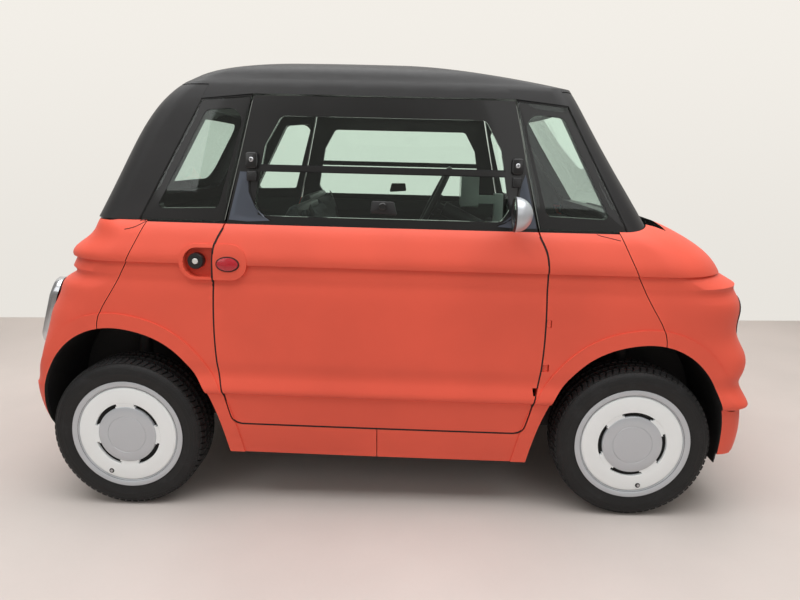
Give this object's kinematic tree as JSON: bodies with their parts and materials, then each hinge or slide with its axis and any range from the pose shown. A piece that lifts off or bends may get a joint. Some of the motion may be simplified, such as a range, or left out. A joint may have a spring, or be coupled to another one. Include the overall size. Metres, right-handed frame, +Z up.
{
  "type": "two-seat electric microcar",
  "caption": "Small enclosed city car with moulded body, opposed doors, cab with seats and dash, steered front wheels and free-turning road wheels.",
  "frame": {"origin": "on the floor under the middle of the car's length and width", "axes": "+X towards the nose, +Y towards the car's left side, +Z up"},
  "size_m": [2.5165, 1.55, 1.536],
  "materials": {
    "body_orange": "moulded-through satin coral orange",
    "black_trim": "fine-grained black",
    "roof_black": "satin dark grey",
    "glass": "green-tinted clear",
    "dark_glass": "dark tinted",
    "frame_black": "gloss to satin black",
    "steel_dark": "black coated steel",
    "grey_metal": "grey coated metal",
    "seat_cloth": "dark grey woven",
    "tyre": "black rubber",
    "wheel_silver": "silver and white",
    "lamp": "clear lens over silver",
    "plate": "white, blank",
    "display": "pale panel",
    "mirror_silver": "satin silver"
  },
  "bodies": {
    "chassis": {"front_clamshell": "body_orange", "rear_clamshell": "body_orange", "front_side_panels": "body_orange", "rear_side_panels": "body_orange", "quarter_glasses": "glass", "windscreen": "glass", "rear_window": "glass", "roof_panel": "roof_black", "roof_glass": "dark_glass", "cab_frame": "frame_black", "floor_pan": "steel_dark", "arch_liners": "black_trim", "dashboard": "black_trim", "instrument_display": "display", "cowl_panel": "black_trim", "battery_pack": "grey_metal", "pedals": "black_trim", "tail_lamps": "lamp", "head_lamps": "lamp", "number_plates": "plate", "wiper": "black_trim", "tow_socket": "steel_dark", "left_seat": "seat_cloth", "right_seat": "seat_cloth", "steering_column": "black_trim", "front_suspension": "steel_dark", "rear_axle": "steel_dark", "motor_unit": "grey_metal"},
    "right_door": {"right_door_panel": "body_orange", "right_door_frame": "frame_black", "right_door_glass": "glass", "right_mirror": "mirror_silver"},
    "right_steering_knuckle": {"right_knuckle": "steel_dark"},
    "front_right_road_wheel": {"front_right_tyre": "tyre", "front_right_wheel": "wheel_silver"},
    "rear_right_road_wheel": {"rear_right_tyre": "tyre", "rear_right_wheel": "wheel_silver"},
    "left_door": {"left_door_panel": "body_orange", "left_door_frame": "frame_black", "left_door_glass": "glass", "left_mirror": "mirror_silver"},
    "left_steering_knuckle": {"left_knuckle": "steel_dark"},
    "front_left_road_wheel": {"front_left_tyre": "tyre", "front_left_wheel": "wheel_silver"},
    "rear_left_road_wheel": {"rear_left_tyre": "tyre", "rear_left_wheel": "wheel_silver"},
    "hand_wheel": {"steering_wheel": "black_trim"}
  },
  "joints": [
    {"name": "right_door_hinge", "type": "hinge", "parent": "chassis", "child": "right_door", "pos_m": [0.54034, -0.686, 0.60468], "axis": [0.0183, 0, 0.9998], "range_deg": [0, 65]},
    {"name": "left_door_hinge", "type": "hinge", "parent": "chassis", "child": "left_door", "pos_m": [-0.57947, 0.686, 0.6252], "axis": [0.0183, 0, 0.9998], "range_deg": [0, 65]},
    {"name": "left_kingpin", "type": "hinge", "parent": "chassis", "child": "left_steering_knuckle", "pos_m": [0.838, 0.5605, 0.264], "axis": [0, 0, 1], "range_deg": [-30, 30]},
    {"name": "right_kingpin", "type": "hinge", "parent": "chassis", "child": "right_steering_knuckle", "pos_m": [0.838, -0.5605, 0.264], "axis": [0, 0, 1], "range_deg": [-30, 30]},
    {"name": "steering_wheel_turn", "type": "hinge", "parent": "chassis", "child": "hand_wheel", "pos_m": [0.15948, 0.3, 0.99772], "axis": [-0.8906, 0, 0.4548], "range_deg": [-480, 480]},
    {"name": "front_right_spin", "type": "hinge", "parent": "right_steering_knuckle", "child": "front_right_road_wheel", "pos_m": [0.838, -0.6225, 0.264], "axis": [0, 1, 0], "continuous": true},
    {"name": "rear_right_spin", "type": "hinge", "parent": "chassis", "child": "rear_right_road_wheel", "pos_m": [-0.89, -0.6225, 0.264], "axis": [0, 1, 0], "continuous": true},
    {"name": "front_left_spin", "type": "hinge", "parent": "left_steering_knuckle", "child": "front_left_road_wheel", "pos_m": [0.838, 0.6225, 0.264], "axis": [0, 1, 0], "continuous": true},
    {"name": "rear_left_spin", "type": "hinge", "parent": "chassis", "child": "rear_left_road_wheel", "pos_m": [-0.89, 0.6225, 0.264], "axis": [0, 1, 0], "continuous": true}
  ],
  "couplings": [
    {"joint": "right_kingpin", "follows": "left_kingpin", "ratio": 1},
    {"joint": "steering_wheel_turn", "follows": "left_kingpin", "ratio": 16}
  ]
}
